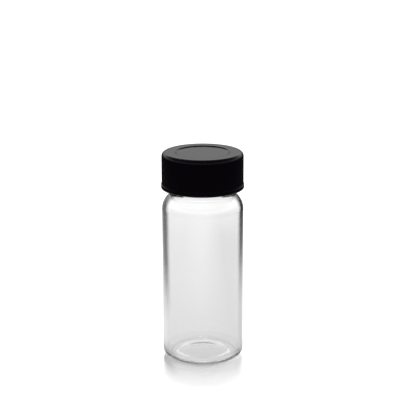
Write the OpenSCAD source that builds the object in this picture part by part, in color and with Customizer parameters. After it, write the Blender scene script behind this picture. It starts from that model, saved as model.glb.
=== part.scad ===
// Glass sample vial with a black screw cap and a sealing liner.
// The vial stands on the origin with its axis along +Z. Lengths are in millimetres.

/* [Vial body] */
// Outside diameter of the glass tube
body_d = 27.5; // [26:0.1:29]
// Height of the glass, from the foot ring to the rim
glass_h = 68.8; // [50:0.1:90]
// Wall of the glass tube
wall = 1.3; // [1:0.1:1.6]
// Glass under the middle of the floor
base_t = 1.4; // [1.2:0.1:2.4]
// Height of the hollow pushed up under the base
push_up = 1; // [0.6:0.1:1.5]
// How much higher the floor is in the middle than at its edge
floor_rise = 1.1; // [0.4:0.1:1.2]
// Width of the flat foot ring that the vial stands on
foot_ring_w = 3.2; // [1:0.1:3.4]
// Outside radius of the rounded heel
heel_arc = 2.4; // [1.4:0.1:3]
// Inside radius where the wall meets the floor
floor_arc = 1.6; // [0.8:0.1:4]

/* [Shoulder and neck] */
// Outside radius of the shoulder's curve
shoulder_arc = 6.2; // [5:0.1:7]
// Distance from the rim down to where the straight body ends
shoulder_drop = 16.8; // [16:0.1:20]
// Radius of the hollow curve between shoulder and neck
neck_arc = 1.5; // [0.8:0.1:2]
// Diameter of the neck at the root of its thread
neck_d = 21.6; // [21.4:0.1:21.8]
// Diameter of the hole through the neck
mouth_d = 17; // [15:0.1:18]
// Radius inside where the shoulder turns into the neck
throat_arc = 4; // [2:0.1:4]
// Radius on the outer edge of the rim
rim_arc = 0.5; // [0.3:0.1:0.8]
// Radius on the inner edge of the rim
mouth_arc = 0.8; // [0.4:0.1:1]

/* [Neck thread] */
// Diameter over the neck's thread
neck_thread_d = 23.7; // [23.4:0.1:23.8]
// Rise of the thread in one turn, eight turns to the inch
pitch = 3.175; // [3:0.025:3.4]
// Turns of thread on the neck
neck_turns = 1.5; // [1.25, 1.5]
// Width of the neck's thread at its root
neck_thread_w = 2.2; // [1.8:0.1:2.3]
// Plain glass between the rim and the top of the thread
thread_start = 1.2; // [1:0.1:1.5]

/* [Screw cap] */
// Diameter of the cap's side
cap_d = 27.6; // [27:0.1:27.8]
// Height of the cap
cap_h = 12.4; // [11.5:0.1:12.8]
// Thickness of the cap's top, outside the recess
cap_top_t = 1.6; // [1.2:0.1:2]
// Diameter of the lip round the foot of the skirt
lip_d = 28; // [27.9:0.1:28.6]
// Height of the lip
lip_h = 1.6; // [1.5:0.1:2.2]
// Radius on the cap's top edge
cap_edge_arc = 1.4; // [0.3:0.1:1.6]
// Radius under the lip
lip_arc = 0.5; // [0.2:0.1:0.7]
// Diameter of the shallow recess in the cap's top, where its brim's arc meets its floor's arc
recess_d = 17.8; // [16:0.1:20]
// Depth of the recess
recess_depth = 0.3; // [0.2:0.05:0.6]
// Radius on the recess's brim
brim_arc = 1; // [0.6:0.1:1.2]
// Radius round the recess's floor
recess_arc = 0.4; // [0.3:0.1:0.6]

/* [Cap thread] */
// Diameter inside the skirt, at the root of the cap's thread
skirt_bore_d = 24.3; // [24.2:0.1:24.6]
// Diameter inside the cap's thread
cap_thread_d = 22.3; // [22.2:0.1:22.5]
// Turns of thread in the cap
cap_turns = 1.75; // [1.25:0.25:1.75]
// Width of the cap's thread at its root
cap_thread_w = 1.6; // [1.2:0.1:1.7]
// How far the cap's thread sits below the neck's thread once tight
thread_seat = 1.45; // [1.4:0.05:1.6]
// Depth and width of the lead-in bevel at the foot of the skirt
lead_in = 0.5; // [0.3:0.1:0.7]

/* [Liner] */
// Diameter of the sealing disc
liner_d = 23.2; // [22.4:0.1:23.6]
// Thickness of the sealing disc
liner_t = 1.2; // [0.8:0.1:1.4]
// Radius on the disc's edges
liner_arc = 0.2; // [0.1:0.05:0.3]

/* [Hidden] */
$fn = 128;

// Places along the axis, from the foot ring upwards
shoulder_z = glass_h - shoulder_drop;
liner_top_z = glass_h + liner_t;
cap_top_z = liner_top_z + cap_top_t;
cap_foot_z = cap_top_z - cap_h;

// Radii that several outlines share
body_r = body_d / 2;
inner_r = body_r - wall;
mouth_r = mouth_d / 2;
neck_r = neck_d / 2;
cap_r = cap_d / 2;
skirt_bore_r = skirt_bore_d / 2;

// The base and the floor are each a cap of a large ball: the radii of their edges
push_up_r = body_r - heel_arc - foot_ring_w;
floor_r = inner_r - floor_arc;
ball_facets = 720;

// Where each thread's lower end lies on the axis
neck_thread_foot_z = glass_h - thread_start - neck_thread_w / 2 - neck_turns * pitch;
cap_thread_foot_z = neck_thread_foot_z - thread_seat;

// Steps of a thread's sweep round the axis, and points across its rounded ridge
steps_per_turn = 40;
ridge_points = 6;
// How deep the ridge's flat side is sunk in the wall that carries it
ridge_sink = 0.4;
// Turns over which a thread rises from each end, and its share of full height right at the end
taper_turns = 0.14;
end_share = 0.12;

// Room between the liner and the rounded corner of the cap's roof
liner_gap = 0.1;
// How far a cutting shape runs past the face it opens
past = 1;

// Share of full height that a thread has at a turn of its sweep
function ridge_share(turn, turns) =
    let (from_end = min(turn, turns - turn) / taper_turns)
    end_share + (1 - end_share) * sin(90 * min(from_end, 1));

// One section of a thread, half an ellipse across with its flat side sunk in the wall
function ridge_section(root_r, side, height, width, angle, z) = [
    for (i = [0:ridge_points])
        let (
            across = 2 * i / ridge_points - 1,
            out = height * sqrt(1 - pow(across, 2)) - ridge_sink,
            r = root_r + side * out
        )
        [r * cos(angle), r * sin(angle), z + across * width / 2]
];

// A list from its last item to its first
function reversed(list) = [for (i = [len(list) - 1:-1:0]) list[i]];

// The piece between a square corner at the origin and the arc that rounds it
module spandrel(arc) {
    difference() {
        square(arc);
        translate([arc, arc]) circle(r = arc);
    }
}

// Half outline of a round slab, with each outer edge rounded where its arc is above 0
module slab_outline(r, low, high, low_arc, high_arc) {
    difference() {
        translate([0, low]) square([r, high - low]);
        if (low_arc > 0) translate([r, low]) mirror([1, 0]) spandrel(low_arc);
        if (high_arc > 0) translate([r, high]) rotate(180) spandrel(high_arc);
    }
}

// Half outline that narrows from side_r at its foot to top_r, by a round and a hollow arc that meet
module narrowing_outline(side_r, top_r, outer_arc, hollow_arc, foot, top) {
    arc_r = side_r - outer_arc;
    run = top_r + hollow_arc - arc_r;
    hollow_z = foot + sqrt(pow(outer_arc + hollow_arc, 2) - pow(run, 2));
    intersection() {
        translate([arc_r, foot]) circle(r = outer_arc);
        translate([0, foot]) square([side_r, outer_arc]);
    }
    difference() {
        polygon([
            [0, foot],
            [arc_r, foot],
            [top_r + hollow_arc, hollow_z],
            [0, hollow_z]
        ]);
        translate([top_r + hollow_arc, hollow_z]) circle(r = hollow_arc);
    }
    translate([0, foot]) square([top_r, top - foot]);
}

// Ridge of a right-hand thread, proud of a round wall (side 1) or standing in from a bore (side -1)
module thread_ridge(root_r, side, proud, width, turns, foot_z) {
    last = round(turns * steps_per_turn);
    per_ring = ridge_points + 1;
    points = [
        for (k = [0:last])
            let (turn = turns * k / last)
            each ridge_section(
                root_r, side, (proud + ridge_sink) * ridge_share(turn, turns), width,
                360 * turn, foot_z + pitch * turn
            )
    ];
    flanks = [
        for (k = [0:last - 1], i = [0:ridge_points])
            let (
                a = k * per_ring + i,
                b = k * per_ring + (i + 1) % per_ring,
                c = b + per_ring,
                d = a + per_ring
            )
            each [[a, b, c], [a, c, d]]
    ];
    ends = [
        [for (i = [ridge_points:-1:0]) i],
        [for (i = [0:ridge_points]) last * per_ring + i]
    ];
    faces = concat(flanks, ends);
    polyhedron(points = points, faces = side > 0 ? faces : [for (f = faces) reversed(f)], convexity = 6);
}

// Outline of a large ball whose cap has the given edge radius and rise, with its top at the given height
module ball_outline(edge_r, rise, top_z) {
    ball_r = (pow(edge_r, 2) + pow(rise, 2)) / (2 * rise);
    translate([0, top_z - ball_r]) circle(r = ball_r, $fn = ball_facets);
}

// Outside of the glass, from the foot ring to the rounded edge of the rim
module glass_outside() {
    slab_outline(body_r, 0, shoulder_z, heel_arc, 0);
    difference() {
        narrowing_outline(body_r, neck_r, shoulder_arc, neck_arc, shoulder_z, glass_h);
        translate([neck_r, glass_h]) rotate(180) spandrel(rim_arc);
    }
}

// Inside of the glass: the floor rises a little in the middle, and the mouth flares at the rim
module glass_inside() {
    crown_z = push_up + base_t;
    difference() {
        slab_outline(inner_r, crown_z - floor_rise, shoulder_z, floor_arc, 0);
        ball_outline(floor_r, floor_rise, crown_z);
    }
    narrowing_outline(inner_r, mouth_r, shoulder_arc - wall, throat_arc, shoulder_z, glass_h);
    translate([mouth_r, glass_h]) mirror([0, 1]) spandrel(mouth_arc);
}

// The vial is one piece of clear glass: tube, domed base, shoulder, neck and thread
module glass_vial() {
    color([0.82, 0.86, 0.86, 0.45]) {
        rotate_extrude() {
            difference() {
                glass_outside();
                glass_inside();
                ball_outline(push_up_r, push_up, push_up);
            }
        }
        thread_ridge(
            neck_r, 1, neck_thread_d / 2 - neck_r, neck_thread_w, neck_turns, neck_thread_foot_z
        );
    }
}

// White sealing disc, loose in the cap's top and pressed on the rim
module cap_liner() {
    color("white")
        rotate_extrude()
            slab_outline(liner_d / 2, glass_h, liner_top_z, liner_arc, liner_arc);
}

// Hollow of the recess in the cap's top: a flat floor that rises over a soft slope to the brim
module recess_outline() {
    arcs = brim_arc + recess_arc;
    slope_run = sqrt(pow(arcs, 2) - pow(arcs - recess_depth, 2));
    recess_r = recess_d / 2 - slope_run * recess_arc / arcs;
    deep = recess_depth + past;
    translate([0, cap_top_z - recess_depth]) square([recess_r, deep]);
    translate([recess_r, cap_top_z + past])
        rotate(-90)
            narrowing_outline(deep, past, recess_arc, brim_arc, 0, slope_run);
}

// Outside of the cap: a plain side, a lip round the foot and a shallow round recess in the top
module cap_outside() {
    lip_r = lip_d / 2;
    difference() {
        slab_outline(cap_r, cap_foot_z, cap_top_z, 0, cap_edge_arc);
        recess_outline();
    }
    slab_outline(lip_r, cap_foot_z, cap_foot_z + lip_h, lip_arc, lip_r - cap_r);
}

// Inside of the cap: a plain bore with a rounded roof corner and a lead-in bevel at the foot
module cap_inside() {
    roof_arc = skirt_bore_r - liner_d / 2 - liner_gap;
    slab_outline(skirt_bore_r, cap_foot_z - past, liner_top_z, 0, roof_arc);
    polygon([
        [0, cap_foot_z - past],
        [skirt_bore_r + lead_in + past, cap_foot_z - past],
        [skirt_bore_r, cap_foot_z + lead_in],
        [0, cap_foot_z + lead_in]
    ]);
}

// The cap is one black moulding: top, skirt, lip and inside thread
module screw_cap() {
    color("#15151a") {
        rotate_extrude() {
            difference() {
                cap_outside();
                cap_inside();
            }
        }
        thread_ridge(
            skirt_bore_r, -1, skirt_bore_r - cap_thread_d / 2, cap_thread_w, cap_turns,
            cap_thread_foot_z
        );
    }
}

glass_vial();
cap_liner();
screw_cap();
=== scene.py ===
import math

import bpy
from mathutils import Matrix, Vector


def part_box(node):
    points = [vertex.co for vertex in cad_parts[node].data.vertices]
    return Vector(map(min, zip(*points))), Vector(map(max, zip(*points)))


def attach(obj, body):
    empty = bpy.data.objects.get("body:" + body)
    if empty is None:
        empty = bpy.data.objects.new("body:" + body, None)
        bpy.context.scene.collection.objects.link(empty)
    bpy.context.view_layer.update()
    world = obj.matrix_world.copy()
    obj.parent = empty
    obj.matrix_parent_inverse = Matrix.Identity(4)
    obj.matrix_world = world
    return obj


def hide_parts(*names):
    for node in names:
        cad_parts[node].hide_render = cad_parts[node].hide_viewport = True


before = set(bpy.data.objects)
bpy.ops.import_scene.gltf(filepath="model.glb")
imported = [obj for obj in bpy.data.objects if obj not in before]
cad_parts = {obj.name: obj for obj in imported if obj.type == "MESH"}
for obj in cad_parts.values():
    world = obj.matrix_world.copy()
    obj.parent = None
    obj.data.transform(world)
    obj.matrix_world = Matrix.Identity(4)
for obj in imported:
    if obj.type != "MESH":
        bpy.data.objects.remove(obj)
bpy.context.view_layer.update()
print("frame loaded:", sorted(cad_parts))

mm = 0.001  # outlines are written in millimetres
mergeWithin = 0.003  # millimetres between points that a spin leaves on top of each other
smoothUpTo = 30  # degrees; a sharper corner stays sharp


def hexColour(code):
    # An sRGB hex colour as the linear colour that a shader takes
    parts = [int(code[i:i + 2], 16) / 255 for i in (1, 3, 5)]
    return tuple(p / 12.92 if p <= 0.04045 else ((p + 0.055) / 1.055) ** 2.4 for p in parts) + (1,)


def addNode(tree, kind, inputs, **settings):
    # Adds one node with its settings, and gives each input a value or a link
    node = tree.nodes.new(kind)
    for key, value in settings.items():
        setattr(node, key, value)
    for key, value in inputs.items():
        if isinstance(value, bpy.types.NodeSocket):
            tree.links.new(value, node.inputs[key])
        else:
            node.inputs[key].default_value = value
    return node


def newMaterial(name):
    # An empty node material, with its tree
    material = bpy.data.materials.new(name)
    material.use_nodes = True
    material.node_tree.nodes.clear()
    return material, material.node_tree


def roundCorners(corners, arcStep):
    # The points of an outline given as (radius, height, rounding), each rounding a true arc
    points = []
    for i, (radius, height, rounding) in enumerate(corners):
        here = Vector((radius, height))
        if rounding == 0:
            points.append(here)
            continue
        back = (Vector(corners[i - 1][:2]) - here).normalized()
        ahead = (Vector(corners[i + 1][:2]) - here).normalized()
        turn = math.pi - back.angle(ahead)
        side = 1 if ahead.x * back.y - ahead.y * back.x > 0 else -1
        centre = here + (back + ahead).normalized() * rounding / math.cos(turn / 2)
        spoke = here + back * rounding * math.tan(turn / 2) - centre
        steps = max(2, round(math.degrees(turn) / arcStep))
        for k in range(steps + 1):
            points.append(centre + Matrix.Rotation(side * turn * k / steps, 2) @ spoke)
    return points


def domeCorners(edgeRadius, edgeHeight, rise, steps):
    # Outline points over a shallow dome, from its edge to the axis
    ball = (edgeRadius ** 2 + rise ** 2) / (2 * rise)
    radii = [edgeRadius * (1 - k / steps) for k in range(steps + 1)]
    return [(r, edgeHeight + rise - ball + math.sqrt(ball ** 2 - r ** 2), 0) for r in radii]


def drawOutline(name, points):
    # Draws a half outline in edit mode: a plane merged to one point, then extruded from place to place
    bpy.ops.object.select_all(action="DESELECT")
    bpy.ops.mesh.primitive_plane_add(size=mm)
    piece = bpy.context.object
    piece.name = name
    bpy.ops.object.mode_set(mode="EDIT")
    bpy.ops.mesh.select_mode(type="VERT")
    bpy.ops.mesh.merge(type="CENTER")
    here = Vector((0, 0))
    for i, point in enumerate(points):
        step = (point - here) * mm
        move = {"value": (step.x, 0, step.y)}
        if i == 0:
            bpy.ops.transform.translate(**move)
        else:
            bpy.ops.mesh.extrude_region_move(TRANSFORM_OT_translate=move)
        here = point
    return piece


def turnOutline(steps):
    # Spins the drawn outline round the axis into a closed body with its faces outwards
    bpy.ops.mesh.select_all(action="SELECT")
    bpy.ops.mesh.spin(steps=steps, angle=2 * math.pi, center=(0, 0, 0), axis=(0, 0, 1))
    bpy.ops.mesh.select_all(action="SELECT")
    bpy.ops.mesh.remove_doubles(threshold=mergeWithin * mm)
    bpy.ops.mesh.normals_make_consistent(inside=False)
    bpy.ops.object.mode_set(mode="OBJECT")


def smoothSurface(piece):
    # Smooth shading that leaves the flat stretches flat up to their roundings
    bpy.ops.object.shade_smooth_by_angle(angle=math.radians(smoothUpTo))
    weights = piece.modifiers.new("flatsFirst", "WEIGHTED_NORMAL")
    weights.keep_sharp = True
    bpy.ops.object.modifier_apply(modifier=weights.name)


def raiseThread(piece, wallRadius, side, thread):
    # Moves the wall's points out (side 1) or in (side -1) into a rounded helical ridge with run-out ends
    onWall = 0.01  # how near to the wall's radius a point of the wall is
    top = thread["foot"] + thread["turns"] * thread["pitch"] + thread["width"]
    for point in piece.data.vertices:
        x, y, z = point.co / mm
        radius = math.hypot(x, y)
        if abs(radius - wallRadius) > onWall or not thread["foot"] - thread["width"] < z < top:
            continue
        raised = 0
        for lap in range(math.ceil(thread["turns"]) + 1):
            turn = (math.atan2(y, x) / (2 * math.pi)) % 1 + lap
            fromEnd = min(turn, thread["turns"] - turn)
            across = (z - thread["foot"] - turn * thread["pitch"]) / (thread["width"] / 2)
            if fromEnd < -thread["endBulge"] or abs(across) >= 1:
                continue
            share = min(max((fromEnd + thread["endBulge"]) / thread["runOut"], 0), 1)
            raised = max(raised, math.sqrt(1 - across ** 2) * math.sin(share * math.pi / 2))
        reach = (radius + side * thread["proud"] * raised) / radius
        point.co.x *= reach
        point.co.y *= reach


# The vial: one outline of the glass, outside and inside, turned round the axis. Sizes in millimetres

vialGlass = {
    "bodyRadius": 13.75,
    "wall": 1.3,
    "base": 1.4,  # glass under the middle of the floor
    "pushUp": 1.0,  # how far the middle of the underside stands off the table
    "floorRise": 1.1,  # how far the floor's middle stands above its edge
    "footRing": 3.2,  # flat that the vial stands on, from the heel inwards
    "ringArc": 4.0,  # softens the foot ring's inner edge
    "heelArc": 2.4,
    "floorArc": 2.0,  # where the floor meets the wall
    "stepOut": 9.6,  # a shallow step up in the floor, from this radius
    "stepIn": 8.6,  # to this one
    "stepRise": 0.5,
    "stepArc": 0.5,
    "shoulderArc": 6.2,
    "shoulderDrop": 16.8,  # from the rim down to where the straight body ends
    "neckArc": 1.5,
    "neckRadius": 10.8,
    "mouthRadius": 8.5,
    "throatArc": 5,  # where the shoulder's inside runs into the mouth
    "rimArc": 0.5,
    "mouthArc": 0.8,
    "plainNeck": 1.0,  # under the rim, above the rows that carry the thread
    "rowStep": 0.13,
    "underSteps": 8,
    "floorSteps": 6,
    "arcStep": 5,  # degrees of a rounding between two points
    "spinSteps": 192,
    "thread": {"foot": 61.7375, "turns": 1.5, "pitch": 3.175, "width": 2.2, "proud": 1.05,
               "runOut": 0.14, "endBulge": 0.02},  # these two are parts of a turn, at each end of the ridge
}


def shoulderCorners(sideRadius, topRadius, arc, hollow, foot):
    # The two corners between a straight side and a narrower neck, whose roundings meet in one S
    run = topRadius + hollow - (sideRadius - arc)
    rise = math.sqrt((arc + hollow) ** 2 - run ** 2)
    lean = math.tan(math.atan2(rise, run) / 2)
    return [(sideRadius, foot + arc * lean, arc), (topRadius, foot + rise - hollow * lean, hollow)]


def makeVial(glass):
    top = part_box("glass_vial")[1].z / mm
    shoulder = top - glass["shoulderDrop"]
    innerRadius = glass["bodyRadius"] - glass["wall"]
    # outside, from the middle of the underside to the rim
    ringRadius = glass["bodyRadius"] - glass["heelArc"] - glass["footRing"]
    outside = domeCorners(ringRadius, 0, glass["pushUp"], glass["underSteps"])[::-1]
    outside[-1] = (ringRadius, 0, glass["ringArc"])
    outside += [(glass["bodyRadius"], 0, glass["heelArc"])]
    outside += shoulderCorners(glass["bodyRadius"], glass["neckRadius"], glass["shoulderArc"],
                               glass["neckArc"], shoulder)
    neckFoot = glass["thread"]["foot"] - glass["thread"]["width"]
    neckRun = top - glass["plainNeck"] - neckFoot
    rows = round(neckRun / glass["rowStep"])
    outside += [(glass["neckRadius"], neckFoot + neckRun * k / rows, 0) for k in range(rows + 1)]
    outside += [(glass["neckRadius"], top, glass["rimArc"])]
    # inside, from the rim down to the middle of the floor
    inside = [(glass["mouthRadius"], top, glass["mouthArc"])]
    inside += shoulderCorners(innerRadius, glass["mouthRadius"], glass["shoulderArc"] - glass["wall"],
                              glass["throatArc"], shoulder)[::-1]
    floorFoot = glass["pushUp"] + glass["base"] - glass["floorRise"]
    inside += [(innerRadius, floorFoot, glass["floorArc"])]
    inside += [(glass["stepOut"], floorFoot, glass["stepArc"])]
    floorDome = domeCorners(glass["stepIn"], floorFoot + glass["stepRise"],
                            glass["floorRise"] - glass["stepRise"], glass["floorSteps"])
    floorDome[0] = (*floorDome[0][:2], glass["stepArc"])
    inside += floorDome
    piece = drawOutline("vialGlass", roundCorners(outside + inside, glass["arcStep"]))
    turnOutline(glass["spinSteps"])
    raiseThread(piece, glass["neckRadius"], 1, glass["thread"])
    smoothSurface(piece)
    return piece


vial = makeVial(vialGlass)
print("vial made:", len(vial.data.polygons), "faces")

# The cap: its bore with the thread, its lip, its side and the recess in its top. Sizes in millimetres

screwCap = {
    "sideRadius": 13.8,
    "lipRadius": 14,
    "lipHeight": 1.6,
    "edgeArc": 1.4,
    "lipArc": 0.5,
    "lipTopArc": 0.19,
    "recessRadius": 8.9,  # where its two roundings meet
    "recessDepth": 0.3,
    "brimArc": 1.0,
    "recessArc": 0.4,
    "boreRadius": 12.15,
    "roofArc": 0.45,
    "leadIn": 0.5,  # bevel at the foot of the bore
    "leadInArc": 0.15,
    "plainBore": 1.0,  # under the roof, above the rows that carry the thread
    "rowStep": 0.15,
    "arcStep": 9,  # degrees of a rounding between two points
    "spinSteps": 192,
    "thread": {"foot": 60.2875, "turns": 1.75, "pitch": 3.175, "width": 1.6, "proud": 1,
               "runOut": 0.14, "endBulge": 0.02},  # these two are parts of a turn, at each end of the ridge
}


def recessCorners(radius, brim, depth, brimArc, floorArc):
    # The two corners of a shallow step down towards the axis, whose roundings meet at a radius
    lean = math.acos(1 - depth / (brimArc + floorArc))
    reach = math.tan(lean / 2) * math.cos(lean)
    return [(radius + brimArc * reach, brim, brimArc), (radius - floorArc * reach, brim - depth, floorArc)]


def makeCap(moulding):
    foot, top = (corner.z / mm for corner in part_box("screw_cap"))
    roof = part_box("cap_liner")[1].z / mm
    bore = moulding["boreRadius"]
    boreTop = roof - moulding["plainBore"]
    boreRun = boreTop - foot - moulding["leadIn"]
    rows = round(boreRun / moulding["rowStep"])
    outline = [(0, roof, 0), (bore, roof, moulding["roofArc"])]
    outline += [(bore, boreTop - boreRun * k / rows, 0) for k in range(rows + 1)]
    outline += [(bore + moulding["leadIn"], foot, moulding["leadInArc"])]
    outline += [(moulding["lipRadius"], foot, moulding["lipArc"])]
    lipTop = foot + moulding["lipHeight"]
    outline += [(moulding["lipRadius"], lipTop, moulding["lipTopArc"])]
    outline += [(moulding["sideRadius"], lipTop, 0), (moulding["sideRadius"], top, moulding["edgeArc"])]
    outline += recessCorners(moulding["recessRadius"], top, moulding["recessDepth"],
                             moulding["brimArc"], moulding["recessArc"])
    outline += [(0, top - moulding["recessDepth"], 0)]
    piece = drawOutline("screwCap", roundCorners(outline, moulding["arcStep"]))
    turnOutline(moulding["spinSteps"])
    raiseThread(piece, bore, -1, moulding["thread"])
    smoothSurface(piece)
    return piece


cap = makeCap(screwCap)
print("cap made:", len(cap.data.polygons), "faces")

# The liner: a plain disc between the rim and the cap's roof. Sizes in millimetres

sealingLiner = {
    "radius": 11.6,
    "edgeArc": 0.2,
    "arcStep": 15,  # degrees of a rounding between two points
    "spinSteps": 128,
}


def makeLiner(disc):
    foot, top = (corner.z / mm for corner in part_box("cap_liner"))
    outline = [(0, foot, 0), (disc["radius"], foot, disc["edgeArc"])]
    outline += [(disc["radius"], top, disc["edgeArc"]), (0, top, 0)]
    piece = drawOutline("sealingLiner", roundCorners(outline, disc["arcStep"]))
    turnOutline(disc["spinSteps"])
    smoothSurface(piece)
    return piece


liner = makeLiner(sealingLiner)
print("liner made:", len(liner.data.polygons), "faces")

# Finishes, and the body that each piece rides on

glassFinish = {
    "tint": "#fbfbfb",
    "ior": 1.5,
    "shadow": "#f3f3f3",  # the light that the vial's shadow lets through
    # The painted shade line down each side and round the heel. Turn is 0 where the glass is seen square on,
    # and 1 where it is seen edge-on. Heights are in metres, shifts and slopes are for each metre to the
    # right
    "edge": {
        "shift": -2.6,  # starts the line earlier on the left and later on the right
        "shiftLow": -5.0,  # the same low on the left
        "shiftTop": 0.04,  # height where the change to shiftLow starts
        "shiftFoot": 0.022,  # and where it is done
        "start": 0.448,  # turn where the line starts
        "peak": 0.648,
        "fade": 0.758,
        "gone": 1.018,
        "rim": 0.2,  # share of the line that is left at gone
        "low": 0.014,  # height up to which the line is weakest
        "high": 0.041,  # height from which it is strongest
        "slant": -0.23,  # puts both heights higher on the right
        "least": 0.125,  # strength at low
        "leastSlope": 9.0,
        "most": 0.9,  # strength at high
        "mostSlope": 4.0,
        "heelTop": 0.008,  # height where the line round the heel starts
        "heelFoot": 0.001,  # and where it is strongest
        "heelStart": 0.25,
        "heelPeak": 0.5,
        "heelMost": 0.4,
    },
}


def paintEdgeShade(tree, edge, colour):
    # The glass's colour with painted shade: darker where the eye looks along the wall, and round the heel
    place = addNode(tree, "ShaderNodeTexCoord", {})
    parts = addNode(tree, "ShaderNodeSeparateXYZ", {0: place.outputs["Object"]})
    across, upward = parts.outputs["X"], parts.outputs["Z"]
    facing = addNode(tree, "ShaderNodeLayerWeight", {"Blend": 0.5})
    # turn, shifted on the left and on the right
    leftward = addNode(tree, "ShaderNodeMath", {0: across, 1: 0.0}, operation="MINIMUM")
    rightward = addNode(tree, "ShaderNodeMath", {0: across, 1: 0.0}, operation="MAXIMUM")
    lowered = addNode(tree, "ShaderNodeMapRange", {
        "Value": upward, "From Min": edge["shiftTop"], "From Max": edge["shiftFoot"],
        "To Min": edge["shift"], "To Max": edge["shiftLow"]})
    shifted = addNode(tree, "ShaderNodeMath", {0: leftward.outputs[0], 1: lowered.outputs[0],
                                               2: facing.outputs["Facing"]}, operation="MULTIPLY_ADD")
    turn = addNode(tree, "ShaderNodeMath", {0: rightward.outputs[0], 1: edge["shift"],
                                            2: shifted.outputs[0]}, operation="MULTIPLY_ADD")
    # the painted shade line across the side
    rising = addNode(tree, "ShaderNodeMapRange", {
        "Value": turn.outputs[0], "From Min": edge["start"], "From Max": edge["peak"]},
        interpolation_type="SMOOTHSTEP")
    falling = addNode(tree, "ShaderNodeMapRange", {
        "Value": turn.outputs[0], "From Min": edge["fade"], "From Max": edge["gone"],
        "To Min": 1.0, "To Max": edge["rim"]})
    line = addNode(tree, "ShaderNodeMath", {0: rising.outputs[0], 1: falling.outputs[0]},
                   operation="MULTIPLY")
    # its strength up the side
    slanted = addNode(tree, "ShaderNodeMath", {0: across, 1: edge["slant"], 2: upward},
                      operation="MULTIPLY_ADD")
    least = addNode(tree, "ShaderNodeMath", {0: across, 1: edge["leastSlope"], 2: edge["least"]},
                    operation="MULTIPLY_ADD")
    most = addNode(tree, "ShaderNodeMath", {0: across, 1: edge["mostSlope"], 2: edge["most"]},
                   operation="MULTIPLY_ADD")
    strength = addNode(tree, "ShaderNodeMapRange", {
        "Value": slanted.outputs[0], "From Min": edge["low"], "From Max": edge["high"],
        "To Min": least.outputs[0], "To Max": most.outputs[0]}, interpolation_type="SMOOTHSTEP")
    side = addNode(tree, "ShaderNodeMath", {0: line.outputs[0], 1: strength.outputs[0]},
                   operation="MULTIPLY")
    # the painted shade line round the heel
    heelHeight = addNode(tree, "ShaderNodeMapRange", {
        "Value": upward, "From Min": edge["heelTop"], "From Max": edge["heelFoot"]},
        interpolation_type="SMOOTHSTEP")
    heelTurn = addNode(tree, "ShaderNodeMapRange", {
        "Value": turn.outputs[0], "From Min": edge["heelStart"], "From Max": edge["heelPeak"],
        "To Max": edge["heelMost"]}, interpolation_type="SMOOTHSTEP")
    heel = addNode(tree, "ShaderNodeMath", {0: heelHeight.outputs[0], 1: heelTurn.outputs[0]},
                   operation="MULTIPLY")
    # what the painted shade leaves of the glass's colour, squared because the shader takes the root at each
    # crossing
    shadeAmount = addNode(tree, "ShaderNodeMath", {0: side.outputs[0], 1: heel.outputs[0]}, operation="MAXIMUM")
    passed = addNode(tree, "ShaderNodeMath", {0: 1.0, 1: shadeAmount.outputs[0]}, operation="SUBTRACT")
    square = addNode(tree, "ShaderNodeMath", {0: passed.outputs[0], 1: passed.outputs[0]},
                     operation="MULTIPLY")
    mixed = addNode(tree, "ShaderNodeMix", {0: square.outputs[0], 6: hexColour("#000000"), 7: colour},
                    data_type="RGBA")
    return mixed.outputs[2]


def clearGlass(name, glass, edge):
    # Borosilicate tube, drawn and fire-polished: clear, with painted shade lines where the eye looks along
    # the wall
    material, tree = newMaterial(name)
    colour = hexColour(glass["tint"])
    if edge:
        colour = paintEdgeShade(tree, edge, colour)
    shader = addNode(tree, "ShaderNodeBsdfPrincipled",
                     {"Base Color": colour, "Roughness": 0.0, "IOR": glass["ior"],
                      "Transmission Weight": 1.0})
    clear = addNode(tree, "ShaderNodeBsdfTransparent", {"Color": hexColour(glass["shadow"])})
    path = addNode(tree, "ShaderNodeLightPath", {})
    either = addNode(tree, "ShaderNodeMixShader", {0: path.outputs["Is Shadow Ray"], 1: shader.outputs[0],
                                                   2: clear.outputs[0]})
    addNode(tree, "ShaderNodeOutputMaterial", {"Surface": either.outputs[0]})
    return material


capFinish = {
    "black": "#08040a",
    "roughness": 0.22,
    "ior": 1.5,
    "specular": 0.1,
    "grainsPerMm": 0.9,  # the mould's polish is finer than 0.1 mm, and is drawn coarser to show
    "grainDetail": 3.0,
    "grainStrength": 0.1,
    "grainHeight": 0.1,  # millimetres
}


def phenolicBlack(name, finish):
    # Phenolic moulding: near black, a soft gloss from the polished mould
    material, tree = newMaterial(name)
    place = addNode(tree, "ShaderNodeTexCoord", {})
    grain = addNode(tree, "ShaderNodeTexNoise", {"Vector": place.outputs["Object"],
                                                 "Scale": finish["grainsPerMm"] / mm,
                                                 "Detail": finish["grainDetail"]})
    bump = addNode(tree, "ShaderNodeBump", {"Height": grain.outputs[0], "Strength": finish["grainStrength"],
                                            "Distance": finish["grainHeight"] * mm})
    shader = addNode(tree, "ShaderNodeBsdfPrincipled",
                     {"Base Color": hexColour(finish["black"]), "Roughness": finish["roughness"],
                      "IOR": finish["ior"], "Specular IOR Level": finish["specular"],
                      "Normal": bump.outputs[0]})
    addNode(tree, "ShaderNodeOutputMaterial", {"Surface": shader.outputs[0]})
    return material


linerFinish = {
    "white": "#efeee9",
    "roughness": 0.7,
    "cell": 0.25,  # millimetres across
    "cellStrength": 0.3,
    "cellHeight": 0.05,  # millimetres
}


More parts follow.
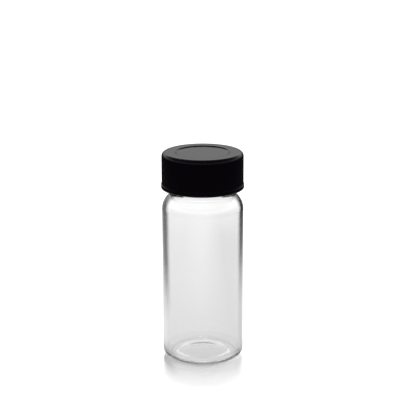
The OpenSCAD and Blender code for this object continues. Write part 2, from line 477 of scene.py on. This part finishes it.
def foamWhite(name, finish):
    # Polyethylene foam disc: matt white with fine cells
    material, tree = newMaterial(name)
    place = addNode(tree, "ShaderNodeTexCoord", {})
    cells = addNode(tree, "ShaderNodeTexVoronoi", {"Vector": place.outputs["Object"],
                                                   "Scale": 1 / (finish["cell"] * mm)})
    bump = addNode(tree, "ShaderNodeBump", {"Height": cells.outputs[0], "Strength": finish["cellStrength"],
                                            "Distance": finish["cellHeight"] * mm})
    shader = addNode(tree, "ShaderNodeBsdfPrincipled",
                     {"Base Color": hexColour(finish["white"]), "Roughness": finish["roughness"],
                      "Normal": bump.outputs[0]})
    addNode(tree, "ShaderNodeOutputMaterial", {"Surface": shader.outputs[0]})
    return material


# The outside takes the glass with painted shade lines down its sides and round its heel
vial.data.materials.append(clearGlass("drawnGlassOutside", glassFinish, glassFinish["edge"]))
vial.data.materials.append(clearGlass("drawnGlassInside", glassFinish, None))
# The vial's inside, its wall and its floor, takes the glass without the painted shade lines
wallFoot = (vialGlass["heelArc"] + vialGlass["wall"]) * mm
nearlyFlat = 1e-5
mostlyUp = 0.5
for face in vial.data.polygons:
    outward = face.normal.x * face.center.x + face.normal.y * face.center.y
    isFloor = face.normal.z > mostlyUp and face.center.z < wallFoot
    face.material_index = 1 if outward < -nearlyFlat or isFloor else 0
cap.data.materials.append(phenolicBlack("phenolicMoulding", capFinish))
liner.data.materials.append(foamWhite("foamLiner", linerFinish))

for piece, body, node, slot in [(vial, "vial", "glass_vial", "clear_glass"),
                                (cap, "cap", "screw_cap", "cap_plastic"),
                                (liner, "liner", "cap_liner", "liner_foam")]:
    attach(piece, body)
    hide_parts(node)
print("finishes and bodies set")

# Studio: floor, light and camera. Places in metres

studioFloor = {
    "size": 20,
    "below": 0.05,  # millimetres under the vial's foot
    "paint": "#e7e7e7",
    "fill": 0.55,  # glow that brings the paint up to white
    "polish": 0.15,  # roughness of the shine round the vial
    # Each ramp: where it starts and ends, and its value at each end
    "byDistance": {  # from the axis
        "shine": (0.014, 0.034, 0.85, 0.0),  # how strongly the floor mirrors the foot of the vial
        "paintedShadow": (0.0125, 0.025, 0.15, 0.0),  # painted contact shadow, darker where the vial stands
        "under": (0.0076, 0.0096, 0.61, 0.67),  # painted light and shade seen through the glass, darkest under the vial: the sum of five
        "around": (0.011, 0.022, 0.0, 0.13),
        "beyond": (0.022, 0.2, 0.0, 0.25),
        "far": (0.18, 0.24, 0.0, 0.13),
        "away": (0.3, 0.9, 0.0, -0.17),
        "shadeNear": (0.03, 0.12, -0.5, -1.0),  # how strongly the sides are shaded is the larger of two
        "shadeFar": (0.14, 0.18, -1.0, -0.35),
        "mirrored": (0.1, 0.2, 0.9, 0.03),  # the level in reflections: a painted pool of light round the vial, dark further out
    },
    "byWidth": {  # from the middle to either side
        "outward": (0.0025, 0.015, 0.0, 0.1),
    },
    "bySide": {  # from the middle to the right
        "rightward": (-0.015, 0.015, -0.05, 0.05),
        "leftShare": (0.003, 0.013, 1.0, 0.5),  # the shine is stronger on the left
    },
}


def makeFloor(sweep):
    bpy.ops.object.select_all(action="DESELECT")
    bpy.ops.mesh.primitive_plane_add(size=sweep["size"], location=(0, 0, -sweep["below"] * mm))
    floor = bpy.context.object
    floor.name = "studioFloor"
    material, tree = newMaterial("whiteSweep")
    path = addNode(tree, "ShaderNodeLightPath", {})
    place = addNode(tree, "ShaderNodeTexCoord", {})
    distance = addNode(tree, "ShaderNodeVectorMath", {0: place.outputs["Object"]}, operation="LENGTH")
    parts = addNode(tree, "ShaderNodeSeparateXYZ", {0: place.outputs["Object"]})
    width = addNode(tree, "ShaderNodeMath", {0: parts.outputs["X"]}, operation="ABSOLUTE")
    ramps = {}
    for group, source in [("byDistance", distance.outputs["Value"]), ("byWidth", width.outputs[0]),
                          ("bySide", parts.outputs["X"])]:
        for name, (start, end, atStart, atEnd) in sweep[group].items():
            ramp = addNode(tree, "ShaderNodeMapRange", {"Value": source, "From Min": start, "From Max": end,
                                                        "To Min": atStart, "To Max": atEnd})
            ramps[name] = ramp.outputs[0]
    # for the camera: white paint, shiny, with a painted contact shadow near the vial
    paint = addNode(tree, "ShaderNodeBsdfDiffuse", {"Color": hexColour(sweep["paint"])})
    fill = addNode(tree, "ShaderNodeEmission", {"Strength": sweep["fill"]})
    white = addNode(tree, "ShaderNodeAddShader", {0: paint.outputs[0], 1: fill.outputs[0]})
    gloss = addNode(tree, "ShaderNodeBsdfGlossy", {"Roughness": sweep["polish"]})
    shining = addNode(tree, "ShaderNodeMath", {0: ramps["shine"], 1: ramps["leftShare"]},
                      operation="MULTIPLY")
    shiny = addNode(tree, "ShaderNodeMixShader", {0: shining.outputs[0], 1: white.outputs[0],
                                                  2: gloss.outputs[0]})
    # painted contact shadow: the floor mixed towards black where the vial stands
    black = addNode(tree, "ShaderNodeEmission", {"Strength": 0.0})
    forCamera = addNode(tree, "ShaderNodeMixShader", {0: ramps["paintedShadow"], 1: shiny.outputs[0],
                                                      2: black.outputs[0]})
    # through the glass: a painted glow that grows with distance, with painted shadow under the vial and
    # painted shade to the sides
    level = ramps["under"]
    for name in ["around", "beyond", "far", "away"]:
        level = addNode(tree, "ShaderNodeMath", {0: level, 1: ramps[name]}, operation="ADD").outputs[0]
    shade = addNode(tree, "ShaderNodeMath", {0: ramps["outward"], 1: ramps["rightward"]}, operation="ADD")
    depth = addNode(tree, "ShaderNodeMath", {0: ramps["shadeNear"], 1: ramps["shadeFar"]},
                    operation="MAXIMUM")
    shaded = addNode(tree, "ShaderNodeMath", {0: shade.outputs[0], 1: depth.outputs[0], 2: 1.0},
                     operation="MULTIPLY_ADD")
    through = addNode(tree, "ShaderNodeMath", {0: level, 1: shaded.outputs[0]}, operation="MULTIPLY")
    # reflections see the painted pool of light, the glass sees the painted glow
    strength = addNode(tree, "ShaderNodeMix", {0: path.outputs["Is Transmission Ray"], 2: ramps["mirrored"],
                                               3: through.outputs[0]})
    paintedGlow = addNode(tree, "ShaderNodeEmission", {"Strength": strength.outputs[0]})
    either = addNode(tree, "ShaderNodeMixShader", {0: path.outputs["Is Camera Ray"], 1: paintedGlow.outputs[0],
                                                   2: forCamera.outputs[0]})
    addNode(tree, "ShaderNodeOutputMaterial", {"Surface": either.outputs[0]})
    floor.data.materials.append(material)


studioLight = {
    "lampPlace": (0.0, 0.19, 0.75),
    "lampAim": (0, 0, 0.03),
    "lampSize": 0.12,
    "lampPower": 3.0,
    "backdrop": 1.0,  # world level that shows, also through the glass
    "ambient": 0.55,  # world level that lights matt surfaces
    "mirrored": 3.85,  # times each band's level, in reflections
    # The bands of soft light that the cap and the glass mirror: sine of the height above the horizon, level
    "bands": [(0.05, 0.02), (0.17, 0.18), (0.24, 0.24), (0.34, 0.5), (0.44, 0.36), (0.56, 0.05)],
}


def makeLight(light):
    bpy.ops.object.light_add(type="AREA", location=light["lampPlace"])
    lamp = bpy.context.object
    lamp.name = "overheadSoftbox"
    lamp.data.shape = "DISK"
    lamp.data.size = light["lampSize"]
    lamp.data.energy = light["lampPower"]
    lamp.visible_glossy = False
    lamp.rotation_euler = (Vector(light["lampAim"]) - lamp.location).to_track_quat("-Z", "Y").to_euler()
    world = bpy.data.worlds.new("whiteStudio")
    bpy.context.scene.world = world
    world.use_nodes = True
    tree = world.node_tree
    tree.nodes.clear()
    path = addNode(tree, "ShaderNodeLightPath", {})
    place = addNode(tree, "ShaderNodeTexCoord", {})
    parts = addNode(tree, "ShaderNodeSeparateXYZ", {0: place.outputs["Generated"]})
    ramp = addNode(tree, "ShaderNodeValToRGB", {0: parts.outputs["Z"]})
    stops = ramp.color_ramp.elements
    for i, (height, level) in enumerate(light["bands"]):
        stop = stops[0] if i == 0 else stops.new(height)
        stop.position = height
        stop.color = (level, level, level, 1)
    stops.remove(stops[-1])
    mirrored = addNode(tree, "ShaderNodeMath", {0: ramp.outputs[0], 1: light["mirrored"]},
                       operation="MULTIPLY")
    shiny = addNode(tree, "ShaderNodeMath", {0: path.outputs["Is Glossy Ray"],
                                             1: path.outputs["Is Transmission Ray"]}, operation="SUBTRACT")
    plain = addNode(tree, "ShaderNodeMix", {0: path.outputs["Is Diffuse Ray"], 2: light["backdrop"],
                                            3: light["ambient"]})
    strength = addNode(tree, "ShaderNodeMix", {0: shiny.outputs[0], 2: plain.outputs[0],
                                               3: mirrored.outputs[0]})
    sky = addNode(tree, "ShaderNodeBackground", {"Color": hexColour("#ffffff"),
                                                 "Strength": strength.outputs[0]})
    addNode(tree, "ShaderNodeOutputWorld", {"Surface": sky.outputs[0]})


studioCamera = {
    "back": 0.42196,
    "height": 0.16908,
    "side": -0.00054,
    "pitch": 15.15,  # degrees down
    "roll": 0.18,
    "lens": 116.5,
    "sensor": 36,
    "clipStart": 0.01,
    "clipEnd": 30,
}


def makeCamera(view):
    turned = (math.radians(90 - view["pitch"]), math.radians(view["roll"]), 0)
    bpy.ops.object.camera_add(location=(view["side"], -view["back"], view["height"]), rotation=turned)
    camera = bpy.context.object
    camera.data.lens = view["lens"]
    camera.data.sensor_width = view["sensor"]
    camera.data.clip_start = view["clipStart"]
    camera.data.clip_end = view["clipEnd"]
    bpy.context.scene.camera = camera


makeFloor(studioFloor)
makeLight(studioLight)
makeCamera(studioCamera)
glassBounces = 32  # light crosses the vial's walls many times
bpy.context.scene.cycles.max_bounces = glassBounces
bpy.context.scene.cycles.transmission_bounces = glassBounces
bpy.context.scene.cycles.glossy_bounces = glassBounces
bpy.context.scene.view_settings.view_transform = "Standard"
print("studio made")
